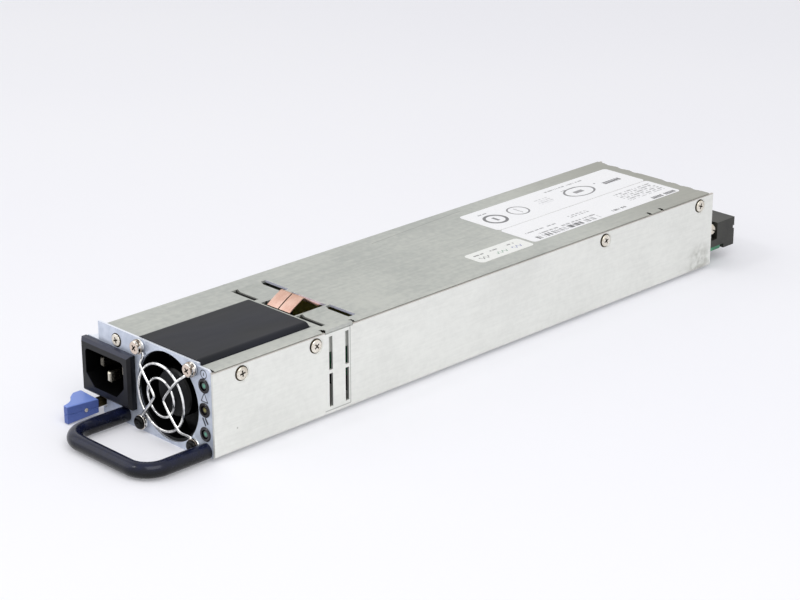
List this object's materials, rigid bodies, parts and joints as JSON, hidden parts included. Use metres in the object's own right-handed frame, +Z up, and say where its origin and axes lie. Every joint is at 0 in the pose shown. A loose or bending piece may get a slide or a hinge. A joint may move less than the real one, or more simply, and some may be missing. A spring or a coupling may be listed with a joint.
{
  "type": "hot swap server power supply",
  "caption": "Slim hot swap server power supply: galvanized housing, twin-rotor fan behind a wire guard, mains inlet, loop handle, blue latch tab and rear output connector.",
  "frame": {"origin": "centre of the housing's underside", "axes": "+Y towards the output connector, +X to the right seen from the handle, +Z up"},
  "size_m": [0.0798, 0.3584, 0.0425],
  "materials": {
    "galvanized_steel": "light galvanized sheet",
    "cover_steel": "duller galvanized sheet",
    "plate_steel": "bright zinc plate, slightly blue",
    "nickel_screws": "bright nickel plate",
    "black_screws": "glossy black",
    "black_sheet": "satin black film",
    "black_plastic": "moulded black plastic",
    "shaft_steel": "ground steel",
    "winding_copper": "copper windings",
    "ferrite": "dark ferrite",
    "bright_wire": "bright plated wire",
    "inlet_plastic": "satin slate black",
    "pin_metal": "plated brass",
    "handle_coating": "black coated rod",
    "green_lens": "dark green unlit lens",
    "amber_lens": "dark amber unlit lens",
    "spring_steel": "brown spring steel",
    "blue_plastic": "blue moulded plastic",
    "clip_copper": "beryllium copper",
    "board_green": "green solder mask",
    "connector_plastic": "black connector moulding",
    "capacitor_sleeve": "black sleeve",
    "heatsink_aluminium": "extruded aluminium",
    "filter_plastic": "filter case",
    "lead_sleeve": "lead insulation",
    "label_white": "white label stock"
  },
  "bodies": {
    "chassis": {"barcode_label": "label_white", "base_pan": "galvanized_steel", "board_screws": "nickel_screws", "bulk_capacitors": "capacitor_sleeve", "clip_base": "clip_copper", "connector_screw": "nickel_screws", "fan_frame": "black_plastic", "fan_guard": "bright_wire", "fan_sheet_bottom": "black_sheet", "fan_sheet_top": "black_sheet", "filter_block": "filter_plastic", "filter_choke": "winding_copper", "front_bearings": "shaft_steel", "front_plate": "plate_steel", "front_stator": "winding_copper", "guard_screws_lower": "black_screws", "guard_screws_upper": "nickel_screws", "handle": "handle_coating", "inlet_housing": "inlet_plastic", "inlet_pins": "pin_metal", "inlet_shroud": "plate_steel", "inspection_sticker": "label_white", "insulation_sheet": "black_sheet", "lamp_bezels": "black_plastic", "lamp_board": "board_green", "lamp_lens_amber": "amber_lens", "lamp_lenses_green": "green_lens", "latch_rivets": "nickel_screws", "main_board": "board_green", "mains_leads": "lead_sleeve", "output_capacitors": "capacitor_sleeve", "output_connector": "connector_plastic", "output_contacts": "pin_metal", "plate_screw": "nickel_screws", "primary_heatsink": "heatsink_aluminium", "rating_label": "label_white", "rear_bearings": "shaft_steel", "rear_stator": "winding_copper", "secondary_heatsink": "heatsink_aluminium", "side_screws_left": "nickel_screws", "side_screws_right": "nickel_screws", "standoffs": "pin_metal", "top_cover": "cover_steel", "transformer_bobbin": "winding_copper", "transformer_core": "ferrite"},
    "front_rotor": {"front_rotor": "black_plastic", "front_shaft": "shaft_steel", "front_magnet": "ferrite"},
    "rear_rotor": {"rear_rotor": "black_plastic", "rear_shaft": "shaft_steel", "rear_magnet": "ferrite"},
    "latch": {"latch_leaf": "spring_steel", "latch_tab": "blue_plastic", "latch_pin": "nickel_screws"},
    "clip_finger_left": {"clip_finger_left": "clip_copper"},
    "clip_finger_right": {"clip_finger_right": "clip_copper"}
  },
  "joints": [
    {"name": "front_rotor_spin", "type": "hinge", "parent": "chassis", "child": "front_rotor", "pos_m": [0.00695, -0.138, 0.0186], "axis": [0, 1, 0], "continuous": true},
    {"name": "rear_rotor_spin", "type": "hinge", "parent": "chassis", "child": "rear_rotor", "pos_m": [0.00695, -0.108, 0.0186], "axis": [0, 1, 0], "continuous": true},
    {"name": "latch_flex", "type": "hinge", "parent": "chassis", "child": "latch", "pos_m": [-0.03487, -0.1, 0.004], "axis": [0, 0, 1], "range_deg": [0, 1.9], "stiffness_Nm_per_rad": 6},
    {"name": "clip_finger_left_press", "type": "hinge", "parent": "chassis", "child": "clip_finger_left", "pos_m": [-0.00095, -0.0746, 0.0351], "axis": [1, 0, 0], "range_deg": [0, 15], "stiffness_Nm_per_rad": 0.05},
    {"name": "clip_finger_right_press", "type": "hinge", "parent": "chassis", "child": "clip_finger_right", "pos_m": [0.00595, -0.0746, 0.0351], "axis": [1, 0, 0], "range_deg": [0, 15], "stiffness_Nm_per_rad": 0.05}
  ]
}
